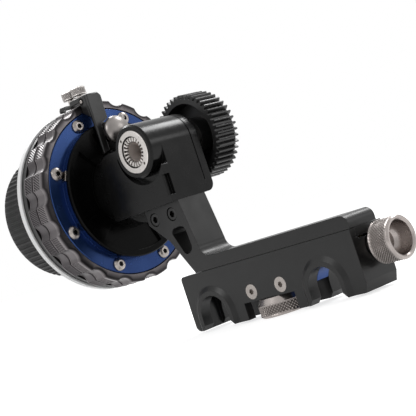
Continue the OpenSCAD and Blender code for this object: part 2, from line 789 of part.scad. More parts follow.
module flange()
    color(black) difference() {
        turn_x(wheel_y, wheel_z, [[wheel_axle_r + 0.5, boss_x], [flange_r, boss_x],
            [flange_r, flange_x - 0.5], [flange_r - 0.5, flange_x],
            [wheel_axle_r + 0.5, flange_x]]);
        // milled pockets between the hub and the rim
        for (k = [0:3])
            plate_yz(flange_x - 1.2, flange_x + 1) translate([wheel_y, wheel_z])
                sector(hub_r, flange_r - 2.8, 43 + 90 * k, 110 + 90 * k);
        dome_bore();
    }

// Bore that guides the domed knob's stem.
module dome_bore()
    bar_x(dome_y, dome_z, dome_stem_r + running, face_x + 0.2, flange_x + 1);

module drum()
    color(blue) difference() {
        turn_x(wheel_y, wheel_z, [
            [wheel_axle_r + 0.5, boss_x], [flange_r - 0.1, boss_x],
            [flange_r - 0.1, face_x], [drum_face_r - 0.4, face_x],
            [drum_face_r, face_x - 0.4], [drum_face_r, face_x - face_t],
            [drum_r, face_x - face_t], [drum_r, stop_b_x0 + chamber + 0.4],
            [drum_r - 5, stop_b_x0 + chamber + 0.4], [drum_r - 5, face_x - face_t],
            [wheel_axle_r + 0.5, face_x - face_t]]);
        for (k = [0:drum_screws_n - 1]) screw_place(k)
            translate([0, 0, -2.4]) cylinder(h = 3, r = 1.25);
        dome_bore();
    }

// The place of screw k in the drum's face, looking out along the axis.
module screw_place(k) {
    a = 20.9 + 360 * k / drum_screws_n;
    translate([face_x, wheel_y + drum_screws_r * cos(a), wheel_z + drum_screws_r * sin(a)])
        rotate([0, 90, 0]) children();
}

module drum_screws()
    color(silver) for (k = [0:drum_screws_n - 1]) screw_place(k)
        difference() {
            union() {
                rotate_extrude() polygon([[0, 0], [2.85, 0], [2.85, 0.5],
                    [2.5, 1.1], [1.7, 1.55], [0, 1.55]]);
                translate([0, 0, -2.4]) cylinder(h = 2.4 + eps, r = 1.25);
            }
            translate([0, 0, 0.5]) hex_socket(2, 2);
        }

// The scalloped outline that both stop rings share.
module scalloped(r)
    difference() {
        circle(r);
        for (k = [0:scallops - 1]) rotate(171.5 + 360 * k / scallops)
            translate([r + scallop_cut_r - scallop_depth, 0]) circle(scallop_cut_r);
    }

// A scalloped rim from x0 to x1 with broken edges.
module stop_rim(x0, x1)
    intersection() {
        plate_yz(x0, x1) translate([wheel_y, wheel_z]) scalloped(stop_r);
        turn_x(wheel_y, wheel_z, [[0, x0], [stop_r - 0.5, x0], [stop_r, x0 + 0.5],
            [stop_r, x1 - 0.9], [stop_r - 0.9, x1], [0, x1]]);
    }

module stop_ring_a()
    color([0.55, 0.54, 0.53]) {
        difference() {
            union() {
                stop_rim(stop_a_x0, face_x);
                bar_x(wheel_y, wheel_z, sleeve_r, stop_b_x0 + chamber, stop_a_x0 + 1);
            }
            bar_x(wheel_y, wheel_z, drum_face_r + 0.2, face_x - face_t - 0.1, face_x + 1);
            bar_x(wheel_y, wheel_z, drum_r + running, stop_b_x0 - 1, face_x + 1);
        }
        // lug that meets the wheel's dog
        plate_yz(stop_b_x0 + 0.4, stop_b_x0 + chamber + 0.5)
            translate([wheel_y, wheel_z]) sector(drum_r + 0.2, sleeve_r,
                lug_angle - 90 - lug_width / 2, lug_angle - 90 + lug_width / 2);
    }

module stop_ring_b()
    color([0.28, 0.28, 0.29]) {
        difference() {
            stop_rim(stop_b_x0, stop_b_x1);
            bar_x(wheel_y, wheel_z, sleeve_r + running, stop_b_x0 - 1, stop_b_x1 + 1);
            bar_x(wheel_y, wheel_z, stop_r - scallop_depth - 0.9,
                stop_b_x0 - 1, stop_b_x0 + chamber);
        }
        plate_yz(stop_b_x0 + 0.4, stop_b_x0 + chamber + 0.5)
            translate([wheel_y, wheel_z]) sector(sleeve_r + 0.5,
                stop_r - scallop_depth - 0.6,
                -lug_angle - 90 - lug_width / 2, -lug_angle - 90 + lug_width / 2);
    }

module wheel_plate()
    color(black) {
        ring_x(wheel_y, wheel_z, wheel_axle_r, stop_r - 1, disc_x1, plate_x1);
        // dog that runs between the two lugs
        plate_yz(plate_x1 - 1, stop_b_x0 + chamber - passing)
            translate([wheel_y, wheel_z]) sector(drum_r + 0.4,
                stop_r - scallop_depth - 1.3, -90 - lug_width / 2, -90 + lug_width / 2);
    }

module marking_disc()
    color([0.93, 0.93, 0.92]) turn_x(wheel_y, wheel_z, [
        [core_r, disc_x0], [disc_r - 1.2, disc_x0], [disc_r, disc_x0 + 0.8],
        [disc_r, disc_x1 - 0.2], [disc_r - 0.2, disc_x1], [core_r, disc_x1]]);

module wheel_core()
    color(black) turn_x(wheel_y, wheel_z, [
        [wheel_axle_r, grip_x0 + 2], [2 * wheel_axle_r, grip_x0 + 2],
        [2 * wheel_axle_r, disc_x1 - 6],
        [core_r - 4, disc_x1 - 6], [core_r - 4, grip_x0 + 2], [core_r, grip_x0 + 2],
        [core_r, disc_x1], [wheel_axle_r, disc_x1]]);

module grip()
    color([0.13, 0.13, 0.13]) difference() {
        intersection() {
            plate_yz(grip_x0, disc_x0) translate([wheel_y, wheel_z]) difference() {
                circle(grip_r);
                for (k = [0:grip_ribs - 1]) rotate(360 * k / grip_ribs)
                    translate([grip_r + 0.2, 0])
                        circle(rib_depth + 0.2, $fn = 8);
            }
            turn_x(wheel_y, wheel_z, [[0, grip_x0], [grip_r - 2.4, grip_x0],
                [grip_r - 0.7, grip_x0 + 0.7], [grip_r, grip_x0 + 2.4],
                [grip_r, disc_x0 - 0.6], [grip_r - 0.6, disc_x0], [0, disc_x0]]);
        }
        bar_x(wheel_y, wheel_z, core_r, grip_x0 + 2, disc_x0 + 1);
        bar_x(wheel_y, wheel_z, core_r - 2, grip_x0 - 1, grip_x0 + 3);
    }

module wheel_cap()
    color(black) difference() {
        turn_x(wheel_y, wheel_z, [[0, grip_x0 + 0.4], [core_r - 3.6, grip_x0 + 0.4],
            [core_r - 2.2, grip_x0 + 1], [core_r - 2.2, grip_x0 + 2],
            [0, grip_x0 + 2]]);
        for (k = [0:2]) cap_screw_place(k) cylinder(h = 4, r = 1.5);
    }

module cap_screw_place(k)
    translate([grip_x0 + 0.3, wheel_y + 6 * cos(120 * k + 90), wheel_z + 6 * sin(120 * k + 90)])
        rotate([0, 90, 0]) children();

module cap_screws()
    color(silver) for (k = [0:2]) cap_screw_place(k) difference() {
        translate([0, 0, 0.2]) cylinder(h = 1.4, r = 1.5);
        hex_socket(1, 1.5);
    }

// ---- stop bracket --------------------------------------------------------------

module stop_post() {
    foot_z = wheel_z + hub_r - 1.5;
    knee_z = dome_z + dome_d / 2 + 1.6;
    color(black) difference() {
        intersection() {
            plate_yz(flange_x, post_x1) polygon([
                [post_y0, foot_z], [post_y0 + 3.4, foot_z],
                [post_y0 + 3.6, knee_z - 3], [post_y0 + post_w, knee_z + 1],
                [post_y0 + post_w, bridge_z1], [post_y0, bridge_z1]]);
            // broken upper edge
            plate_xz(post_y0 - 1, post_y0 + post_w + 1) polygon([
                [flange_x, foot_z], [post_x1, foot_z], [post_x1, bridge_z1 - 1.4],
                [post_x1 - 1.4, bridge_z1], [flange_x, bridge_z1]]);
        }
        // foot that follows the hub
        bar_x(wheel_y, wheel_z, hub_r + sliding, flange_x - 1, post_x1 + 1);
    }
}

module stop_bridge()
    color(black) difference() {
        block([bridge_x0, post_y0, bridge_z0], [flange_x, post_y0 + post_w, bridge_z1]);
        for (x = thumb_x) bar_z(x, thumb_y, 1.3 + running, bridge_z0 - 1, bridge_z1 + 1);
        bar_y((thumb_x[0] + thumb_x[1]) / 2, bridge_z0 + bridge_t / 2, 0.9,
            post_y0 - 1, post_y0 + 2);
    }

thumb_x = [(face_x + stop_a_x0) / 2, (stop_b_x0 + stop_b_x1) / 2];

module bridge_pin()
    color(silver) turn_y((thumb_x[0] + thumb_x[1]) / 2, bridge_z0 + bridge_t / 2, [
        [0, post_y0 - 0.5], [0.6, post_y0 - 0.5], [0.9, post_y0 - 0.1],
        [0.9, post_y0 + 2], [0, post_y0 + 2]]);

module index_pointer()
    color(black) plate_xz(post_y0, post_y0 + post_w)
        polygon([[bridge_x0, bridge_z0], [bridge_x0, bridge_z1 - 0.8],
            [disc_x0 + 1, bridge_z1 - 1.6], [disc_x0, bridge_z0 + 0.6],
            [disc_x0, bridge_z0]]);

module thumbscrew(x) {
    z0 = bridge_z1 + 1.1;
    color(silver) turn_z(x, thumb_y, [
        [0, bridge_z0 - bridge_gap + 0.25], [1, bridge_z0 - bridge_gap + 0.25],
        [1.3, bridge_z0 - bridge_gap + 0.55], [1.3, z0], [thumb_d / 2 - 0.5, z0],
        [thumb_d / 2, z0 + 0.4], [thumb_d / 2, z0 + thumb_h - 0.5],
        [thumb_d / 2 - 0.6, z0 + thumb_h], [0, z0 + thumb_h]]);
}
module thumbscrew_a() thumbscrew(thumb_x[0]);
module thumbscrew_b() thumbscrew(thumb_x[1]);

module domed_knob() {
    r = dome_d / 2;
    x0 = flange_x + 0.4;
    x1 = post_x1 + passing;
    color(silver) {
        turn_x(dome_y, dome_z, concat(
            [[0, face_x + 0.5], [dome_stem_r, face_x + 0.5], [dome_stem_r, x0],
             [r - 1.9, x0], [r - 1.9, x1], [r - 0.9, x1], [r, x1 + 0.7],
             [r, x1 + 3.4]],
            [for (a = [15:15:75]) [r * cos(a), x1 + 3.4 + 3.4 * sin(a)]],
            [[0, x1 + 6.8]]));
    }
}

clamp_block();
guide_screws();
clamp_bar();
clamp_knob();
lock_knob();
lock_strip();
arm();
arm_screws();
gearbox_body();
rear_cover();
cover_screws();
spanner_ring();
front_bearing();
rear_bearing();
drive_axle();
axle_gear();
drive_gear();
gear_cap();
idler_bush();
idler_shaft();
idler_gear();
idler_bevel();
wheel_bevel();
wheel_axle();
inner_bearing();
outer_bearing();
flange();
drum();
drum_screws();
stop_ring_a();
stop_ring_b();
wheel_plate();
marking_disc();
wheel_core();
grip();
wheel_cap();
cap_screws();
stop_post();
stop_bridge();
bridge_pin();
index_pointer();
thumbscrew_a();
thumbscrew_b();
domed_knob();
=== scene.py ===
import json
import math
import bmesh
import bpy
import numpy as np
from mathutils import Matrix, Vector

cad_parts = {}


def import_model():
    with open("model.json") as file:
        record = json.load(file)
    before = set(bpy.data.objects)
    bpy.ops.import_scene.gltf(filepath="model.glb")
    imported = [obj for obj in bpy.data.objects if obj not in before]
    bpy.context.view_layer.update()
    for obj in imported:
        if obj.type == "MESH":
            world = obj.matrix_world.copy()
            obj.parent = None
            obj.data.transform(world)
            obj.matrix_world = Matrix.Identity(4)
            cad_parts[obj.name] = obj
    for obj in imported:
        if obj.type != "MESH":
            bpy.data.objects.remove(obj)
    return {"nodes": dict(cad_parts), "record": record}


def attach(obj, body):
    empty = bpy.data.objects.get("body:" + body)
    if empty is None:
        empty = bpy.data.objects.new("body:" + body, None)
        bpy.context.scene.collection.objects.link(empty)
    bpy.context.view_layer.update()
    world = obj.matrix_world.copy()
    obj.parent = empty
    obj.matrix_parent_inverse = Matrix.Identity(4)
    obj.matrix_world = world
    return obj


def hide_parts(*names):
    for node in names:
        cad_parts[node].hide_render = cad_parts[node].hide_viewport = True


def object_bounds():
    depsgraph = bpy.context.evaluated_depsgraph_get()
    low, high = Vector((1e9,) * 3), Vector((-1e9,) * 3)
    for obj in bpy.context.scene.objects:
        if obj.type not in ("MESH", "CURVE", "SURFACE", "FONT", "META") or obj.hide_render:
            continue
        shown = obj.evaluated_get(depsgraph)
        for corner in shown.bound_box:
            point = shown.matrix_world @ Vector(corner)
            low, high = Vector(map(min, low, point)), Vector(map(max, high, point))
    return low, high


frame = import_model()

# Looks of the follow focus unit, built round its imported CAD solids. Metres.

CAD_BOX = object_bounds()
MM = 0.001
# axes in millimetres: the drive port's runs along Y, the hand wheel's along X
PORT_X, PORT_Z = -42, 70.5
WHEEL_Y, WHEEL_Z = 15, 60
STOP_RING_R = 40.0
NODES = frame["nodes"]
SCENE = bpy.context.scene
SCENE.view_settings.view_transform = "Standard"

# ---- camera ------------------------------------------------------------------

# right, up and backward axes of the camera in the row frame, fitted to the photo
CAM_RIGHT = Vector((0.641334, 0.7009728, -0.3119741))
CAM_UP = Vector((0.2230248, 0.218736, 0.949955))
CAM_BACK = Vector((0.7341326, -0.6788164, -0.0160515))
CAM_PLACE = Vector((0.3265296, -0.3166672, 0.0326032))
CAM_LENS = 105.701


def make_camera():
    cam = bpy.data.objects.new("camera", bpy.data.cameras.new("camera"))
    SCENE.collection.objects.link(cam)
    turn = Matrix((CAM_RIGHT, CAM_UP, CAM_BACK)).transposed().to_4x4()
    cam.matrix_world = Matrix.Translation(CAM_PLACE) @ turn
    cam.data.lens = CAM_LENS
    cam.data.sensor_width = 36
    cam.data.clip_start = 0.01
    cam.data.clip_end = 30
    SCENE.camera = cam


make_camera()

# ---- materials ---------------------------------------------------------------


class Nodes:
    """A material's node tree, with short calls for what the finishes share."""

    def __init__(self, name):
        self.mat = bpy.data.materials.new(name)
        self.mat.use_nodes = True
        self.tree = self.mat.node_tree
        self.shader = self.tree.nodes["Principled BSDF"]

    def add(self, kind, **values):
        node = self.tree.nodes.new("ShaderNode" + kind)
        for key, value in values.items():
            if key in node.inputs:
                node.inputs[key].default_value = value
            else:
                setattr(node, key, value)
        return node

    def link(self, a, b):
        self.tree.links.new(a, b)

    def set(self, **values):
        for key, value in values.items():
            self.shader.inputs[key.replace("_", " ")].default_value = value

    def place(self, scale=(1, 1, 1)):
        """Object coordinates, stretched by scale."""
        coords = self.add("TexCoord")
        mapping = self.add("Mapping")
        mapping.inputs["Scale"].default_value = scale
        self.link(coords.outputs["Object"], mapping.inputs["Vector"])
        return mapping.outputs["Vector"]

    def noise(self, vector, scale, detail=3.0, rough=0.55):
        node = self.add("TexNoise", Scale=scale, Detail=detail, Roughness=rough)
        self.link(vector, node.inputs["Vector"])
        return node.outputs["Fac"]

    def ramp(self, value, low, high, from_low=0.3, from_high=0.7):
        """A colour ramp between two colours or greys."""
        node = self.add("ValToRGB")
        ends = node.color_ramp.elements
        for end, place, colour in ((ends[0], from_low, low), (ends[1], from_high, high)):
            end.position = place
            end.color = colour if len(colour) == 4 else (*colour, 1)
        self.link(value, node.inputs["Fac"])
        return node.outputs["Color"]

    def painted_groove_shade(self, colour, dark):
        """Darkens a colour where the mesh says that a groove lies: painted shade in grooves,
        scallops, recesses and on edges.
        """
        groove = self.add("Attribute", attribute_name="groove")
        mix = self.add("Mix")
        mix.data_type = "RGBA"
        self.link(groove.outputs["Fac"], mix.inputs[0])
        self.link(colour, mix.inputs[6])
        # dark is the colour of the painted shade
        mix.inputs[7].default_value = (*dark, 1)
        return mix.outputs[2]

    def vary_rough(self, value, low, high):
        node = self.add("MapRange")
        node.inputs["From Min"].default_value = 0.3
        node.inputs["From Max"].default_value = 0.7
        node.inputs["To Min"].default_value = low
        node.inputs["To Max"].default_value = high
        self.link(value, node.inputs["Value"])
        self.link(node.outputs["Result"], self.shader.inputs["Roughness"])

    def bump(self, height, distance, strength=1.0, edge=0.0):
        """Bump over softly rounded edges."""
        node = self.add("Bump", Strength=strength, Distance=distance)
        self.link(height, node.inputs["Height"])
        if edge:
            bevel = self.add("Bevel", Radius=edge)
            bevel.samples = 4
            self.link(bevel.outputs["Normal"], node.inputs["Normal"])
        self.link(node.outputs["Normal"], self.shader.inputs["Normal"])


def grey(v):
    return (v, v, v)


def anodised(name, dark, light, rough, grain=2600, depth=0.000004, edge=0.00025, metal=0.0,
             streak=None, ior=1.45, groove=(0.012, 0.011, 0.012)):
    """Bead-blasted, dyed and anodised aluminium, with shade painted in the colour groove where
    the mesh marks grooves.
    """
    n = Nodes(name)
    n.set(Metallic=metal, IOR=ior)
    where = n.place()
    cloud = n.noise(where, 55, 2.0)
    n.link(n.painted_groove_shade(n.ramp(cloud, dark, light), groove), n.shader.inputs["Base Color"])
    n.vary_rough(n.noise(where, 160, 3.0), rough - 0.04, rough + 0.05)
    fine = n.noise(n.place(streak) if streak else where, grain, 2.0)
    n.bump(fine, depth, 1.0, edge)
    return n.mat


def bare_metal(name, dark, light, rough, streak=(1, 1, 1), grain=1500, depth=0.000006,
               edge=0.0002, groove=(0.05, 0.042, 0.038)):
    """Turned or milled bright metal with fine tool marks, and brownish shade painted in the
    colour groove where the mesh marks grooves.
    """
    n = Nodes(name)
    n.set(Metallic=1.0)
    cloud = n.noise(n.place(), 90, 2.0)
    n.link(n.painted_groove_shade(n.ramp(cloud, dark, light), groove), n.shader.inputs["Base Color"])
    n.vary_rough(n.noise(n.place(streak), 420, 3.0), rough - 0.05, rough + 0.07)
    n.bump(n.noise(n.place(streak), grain, 2.0), depth, 1.0, edge)
    return n.mat


def moulded(name, dark, light, rough, grain=1800, depth=0.000010, edge=0.0002, ior=1.4):
    """Moulded plastic or rubber."""
    n = Nodes(name)
    n.set(IOR=ior)
    cloud = n.noise(n.place(), 70, 2.0)
    n.link(n.ramp(cloud, dark, light), n.shader.inputs["Base Color"])
    n.vary_rough(n.noise(n.place(), 240, 3.0), rough - 0.05, rough + 0.05)
    n.bump(n.noise(n.place(), grain, 3.0), depth, 1.0, edge)
    return n.mat


def make_materials():
    return {
        "block_black": anodised("block_black", grey(0.005), grey(0.008), 0.32, ior=1.38),
        "arm_black": anodised("arm_black", grey(0.005), grey(0.008), 0.36, ior=1.38,
                              streak=(0.05, 1, 1)),
        "housing_black": anodised("housing_black", grey(0.003), grey(0.005), 0.24, ior=1.28,
                                  streak=(1, 0.06, 1), grain=2200),
        # the flange's own black, made darker still as painted shade on the flange; the pieces of
        # painted shade use it too
        "flange_black": anodised("flange_black", grey(0.001), grey(0.002), 0.20, ior=1.16),
        "bracket_black": anodised("bracket_black", grey(0.008), grey(0.012), 0.34, ior=1.46),
        "gear_black": moulded("gear_black", grey(0.009), grey(0.013), 0.34, ior=1.46),
        "wheel_black": anodised("wheel_black", grey(0.008), grey(0.012), 0.35),
        "screw_black": bare_metal("screw_black", grey(0.03), grey(0.05), 0.35),
        "screw_steel": bare_metal("screw_steel", (0.27, 0.245, 0.23), (0.36, 0.33, 0.31), 0.26),
        "shaft_steel": bare_metal("shaft_steel", grey(0.5), grey(0.6), 0.25,
                                  streak=(1, 0.1, 1)),
        "bearing_steel": bare_metal("bearing_steel", grey(0.4), grey(0.5), 0.2),
        "bush_bronze": bare_metal("bush_bronze", (0.5, 0.32, 0.14), (0.6, 0.4, 0.2), 0.35),
        "strip_brass": bare_metal("strip_brass", (0.5, 0.4, 0.2), (0.62, 0.5, 0.27), 0.32,
                                  streak=(0.05, 1, 1)),
        "knob_silver": bare_metal("knob_silver", (0.30, 0.27, 0.257), (0.40, 0.363, 0.345), 0.28),
        "thumb_silver": bare_metal("thumb_silver", (0.50, 0.47, 0.45), (0.62, 0.59, 0.57), 0.30),
        "dome_silver": bare_metal("dome_silver", (0.13, 0.12, 0.115), (0.33, 0.307, 0.293), 0.33),
        "port_silver": bare_metal("port_silver", (0.48, 0.46, 0.44), (0.60, 0.57, 0.55), 0.28),
        "bar_blue": anodised("bar_blue", (0.022, 0.06, 0.22), (0.03, 0.08, 0.27), 0.35,
                             metal=0.6),
        "drum_blue": anodised("drum_blue", (0.012, 0.034, 0.125), (0.020, 0.052, 0.17), 0.24,
                              metal=0.7, depth=0.000003),
        "ring_light": anodised("ring_light", (0.15, 0.136, 0.14), (0.21, 0.193, 0.197), 0.31,
                               metal=0.9),
        "ring_dark": anodised("ring_dark", (0.095, 0.086, 0.09), (0.14, 0.128, 0.132), 0.31,
                              metal=0.9),
        "disc_white": moulded("disc_white", grey(0.78), grey(0.84), 0.40),
        "grip_rubber": moulded("grip_rubber", grey(0.008), grey(0.012), 0.60,
                               depth=0.00003),
    }


MATS = make_materials()


def paint_nodes():
    """Gives each CAD node the material of its slot."""
    for part in frame["record"]["subparts"]:
        node = NODES[part["node"]]
        mat = MATS[part["material_slot"]]
        if not node.material_slots:
            node.data.materials.append(mat)
        for slot in node.material_slots:
            slot.material = mat


paint_nodes()

# ---- pieces ------------------------------------------------------------------


def turned_frame(axis, centre):
    """The matrix that lays local Z along axis through centre, in millimetres."""
    columns = {"x": ((0, 1, 0), (0, 0, 1), (1, 0, 0)),
               "z": ((1, 0, 0), (0, 1, 0), (0, 0, 1))}[axis]
    return np.array(columns, float), np.array(centre, float)


def add_piece(name, verts, faces, body, slot, smooth=30, groove=None, mat=None):
    """A mesh object of millimetre points that rides on a body."""
    mesh = bpy.data.meshes.new(name)
    mesh.from_pydata((np.asarray(verts) * MM).tolist(), [], faces)
    mesh.update()
    mesh.shade_smooth()
    mesh.set_sharp_from_angle(angle=math.radians(smooth))
    mesh.materials.append(mat or MATS[slot])
    # groove: per-point amount of painted shade that the material darkens by
    if groove is not None:
        mesh.attributes.new("groove", "FLOAT", "POINT").data.foreach_set(
            "value", np.clip(groove, 0, 1).astype(np.float32))
    piece = bpy.data.objects.new(name, mesh)
    SCENE.collection.objects.link(piece)
    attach(piece, body)
    return piece


def band_faces(rows, count, closed=True, flipped=False):
    """Quads between rows of count vertices round an axis. closed joins the last row to
    the first."""
    faces = []
    for k in range(rows if closed else rows - 1):
        a, b = k * count, (k + 1) % rows * count
        for i in range(count):
            j = (i + 1) % count
            faces.append((a + i, b + i, b + j, a + j) if flipped
                         else (a + i, a + j, b + j, b + i))
    return faces


def triangle_wave(v):
    return 1 - 2 * np.abs(v - np.floor(v) - 0.5)


def diamond(angle, along, radius, count, depth):
    """Height of a diamond knurl: pyramids between two crossing helical grooves."""
    u = angle * count / (2 * math.pi)
    v = along * count / (2 * math.pi * radius)
    ridge = np.minimum(triangle_wave(u + v), triangle_wave(u - v))
    return depth * (np.minimum(ridge, 0.8) / 0.8 - 1)


def revolve(name, axis, centre, profile, body, slot, count=0, knurl=(), depth=0.25,
            steps=6, plain_steps=96, smooth=30):
    """A turned piece. profile is (radius, along) in millimetres from pole to pole, and
    knurl holds the numbers of the profile's stretches that are knurled."""
    angles = steps * count if count else plain_steps
    turn = np.arange(angles) * 2 * math.pi / angles
    rings = []
    for k, (r, s) in enumerate(profile):
        rings.append((r, s, 0.0))
        if k in knurl:
            r1, s1 = profile[k + 1]
            length = math.hypot(r1 - r, s1 - s)
            pieces = max(4, int(length / (2 * math.pi * max(r, r1) / count / steps)))
            for j in range(1, pieces):
                t = j / pieces
                edge = min(1, 6 * min(t, 1 - t))
                rings.append((r + (r1 - r) * t, s + (s1 - s) * t, edge))
    verts, index, groove = [], [], []
    for r, s, weight in rings:
        if r == 0:
            index.append([len(verts)])
            verts.append((0, 0, s))
            groove.append(0)
            continue
        drop = weight * diamond(turn, s, r, count, depth) if weight else np.zeros(angles)
        radius = r + drop
        # painted shade, darker the deeper the point lies in the knurl
        groove += list(-1.15 * drop / depth)
        index.append(list(range(len(verts), len(verts) + angles)))
        verts += list(zip(radius * np.cos(turn), radius * np.sin(turn), np.full(angles, s)))
    faces = []
    for a, b in zip(index, index[1:]):
        for i in range(angles):
            j = (i + 1) % angles
            if len(a) == 1:
                faces.append((a[0], b[j], b[i]))
            elif len(b) == 1:
                faces.append((a[i], a[j], b[0]))
            else:
                faces.append((a[i], a[j], b[j], b[i]))
    columns, origin = turned_frame(axis, centre)
    points = np.array(verts) @ columns + origin
    return add_piece(name, points, faces, body, slot, smooth, groove)


def knurled_knobs():
    """The three sizes of knurled knob, with the knurl cut as real diamonds."""
    knob = revolve("clamp_knob_knurled", "z", (0.3, 7.1, 0),
                   [(0, -6.1), (7.6, -6.1), (8.0, -5.9), (8.9, -6.1), (9.4, -6.1),
                    (10, -5.5), (10, -1.2), (9.6, -0.8), (8.9, 0.9), (8.7, 1.1),
                    (2, 1.1), (2, 9.5), (0, 9.5)],
                   "clamp_knob", "knob_silver", count=46, knurl=(5,), depth=0.42)
    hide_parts("clamp_knob")
    knob = revolve("lock_knob_knurled", "x", (0, 10.8, 9.4),
                   [(0, 41.2), (1.5, 41.2), (2.5, 42.2), (2.5, 48.6), (4.9, 48.6),
                    (5.3, 50.9), (6.4, 50.9), (7.85, 51.9), (7.9, 60.0), (7.75, 60.35),
                    (7.4, 60.75), (7.0, 60.8), (6.6, 60.7), (6.1, 60.1), (5.5, 55.8),
                    (4.9, 54.6), (3.7, 53.8), (1.6, 53.8), (0, 54.3)],
                   "lock_knob", "knob_silver", count=48, knurl=(6, 7), depth=0.34)
    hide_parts("lock_knob")
    for name, x in (("thumbscrew_a", -84.6), ("thumbscrew_b", -91.6)):
        piece = revolve(name + "_knurled", "z", (x, 12.4, 0),
                        [(0, 100.25), (1, 100.25), (1.3, 100.55), (1.3, 104.2),
                         (2.8, 104.1), (3.25, 104.5), (3.25, 107.6), (2.7, 108), (1.2, 108),
                         (0.9, 107.8), (0, 107.8)],
                        name, "thumb_silver", count=26, knurl=(5,), depth=0.22)
        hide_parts(name)


def scalloped_radius(angle, rim, depth, cutter, count, first):
    """Outer radius of a stop ring at each angle, and how far it is from a scallop."""
    pitch = 2 * math.pi / count
    off = (angle - first + pitch / 2) % pitch - pitch / 2
    reach = rim + cutter - depth
    inside = cutter ** 2 - (reach * np.sin(off)) ** 2
    dip = reach * np.cos(off) - np.sqrt(np.maximum(inside, 0))
    radius = np.where(inside > 0, np.minimum(rim, dip), rim)
    return radius, np.clip((radius - rim + 0.05) / 0.05, 0, 1)


def slanted(angle, along, radius, count, depth):
    """Height of a fine knurl of slanted lines."""
    u = angle * count / (2 * math.pi)
    v = along * count / (2 * math.pi * radius)
    return depth * (triangle_wave(u - 0.7 * v) - 1)


def stop_ring(name, node, body, slot, rim_x, steps, inner, band):
    """A scalloped stop ring with slanted knurls on its pads and a plain band at the
    rim's start and end. inner is the rest of its profile, from the rim's last point
    round to its first."""
    angles = 1800
    knurl = 0.30
    turn = np.arange(angles) * 2 * math.pi / angles
    radius, pad = scalloped_radius(turn, STOP_RING_R, 1.7, 5.0, 18, math.radians(171.5))
    x0, x1 = rim_x
    k0, k1 = x0 + band[0], x1 - band[1]
    # rows: x, drop, weight of the knurl and painted shade, which is darkest on the chamfered
    # edges and where the knurl meets the plain bands
    rows = [(x0, 0.55, 0.0, 0.9), (x0 + 0.12, 0.2, 0.0, 0.5), (x0 + 0.45, 0.0, 0.0, 0.15),
            (k0, 0.0, 0.0, 0.1), (k0 + 0.1, 0.12, 0.0, 0.8)]
    for j in range(steps + 1):
        t = j / steps
        rows.append((k0 + 0.2 + (k1 - k0 - 0.4) * t, 0.12, 1.0, 0.0))
    rows += [(k1 - 0.1, 0.12, 0.0, 0.8), (k1, 0.0, 0.0, 0.1), (x1 - 0.5, 0.0, 0.0, 0.5),
             (x1 - 0.15, 0.3, 0.0, 0.85), (x1, 0.9, 0.0, 0.95)]
    verts, groove = [], []
    for x, drop, weight, painted_shade in rows:
        r = radius - drop
        dark = np.full(angles, painted_shade)
        if weight:
            height = pad * slanted(turn, x, STOP_RING_R, 216, knurl)
            r = r + height
            # painted shade in the knurl's grooves and in the scallops
            dark = -1.3 * height / knurl + 0.45 * (1 - pad)
        verts += list(zip(np.full(angles, x), r * np.cos(turn), r * np.sin(turn)))
        groove += list(dark)
    for r, x in inner:
        verts += list(zip(np.full(angles, x), r * np.cos(turn), r * np.sin(turn)))
        # painted shade on the inner faces
        groove += [0.3] * angles
    faces = band_faces(len(rows) + len(inner), angles, flipped=True)
    points = np.array(verts) + (0, WHEEL_Y, WHEEL_Z)
    piece = add_piece(name, points, faces, body, slot, 35, groove)
    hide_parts(node)
    return piece


def stop_rings():
    stop_ring("stop_ring_a_knurled", "stop_ring_a", "stop_ring_a", "ring_light",
              (-88.2, -81.0), 24,
              [(36.7, -81.0), (36.7, -84.1), (33.45, -84.1), (33.45, -92.8),
               (35.3, -92.8), (35.3, -88.2)], (0.7, 1.9))
    stop_ring("stop_ring_b_knurled", "stop_ring_b", "stop_ring_b", "ring_dark",
              (-94.7, -88.5), 22,
              [(35.35, -88.5), (35.35, -92.8), (37.4, -92.8), (37.4, -94.7)], (0.8, 0.7))


def prism(points, axis, low, high):
    """Vertices and faces of a flat outline run along an axis. The outline's points are
    in the two other axes, in their order, and turn left seen from the axis's end."""
    count = len(points)
    verts = []
    for level in (low, high):
        for a, b in points:
            verts.append({"x": (level, a, b), "y": (a, level, b), "z": (a, b, level)}[axis])
    faces = [tuple(range(count))[::-1], tuple(range(count, 2 * count))]
    faces += [(i, (i + 1) % count, count + (i + 1) % count, count + i) for i in range(count)]
    if axis == "y":
        faces = [f[::-1] for f in faces]
    return verts, faces


def joined(parts):
    verts, faces = [], []
    for v, f in parts:
        start = len(verts)
        verts += list(v)
        faces += [tuple(i + start for i in face) for face in f]
    return verts, faces


def box(a, b):
    return prism([(a[0], a[1]), (b[0], a[1]), (b[0], b[1]), (a[0], b[1])], "z", a[2], b[2])


def softened(piece, width):
    """Breaks a piece's sharp edges."""
    bevel = piece.modifiers.new("edges", "BEVEL")
    bevel.width = width * MM
    bevel.segments = 2
    bevel.limit_method = "ANGLE"
    bevel.angle_limit = math.radians(40)
    return piece


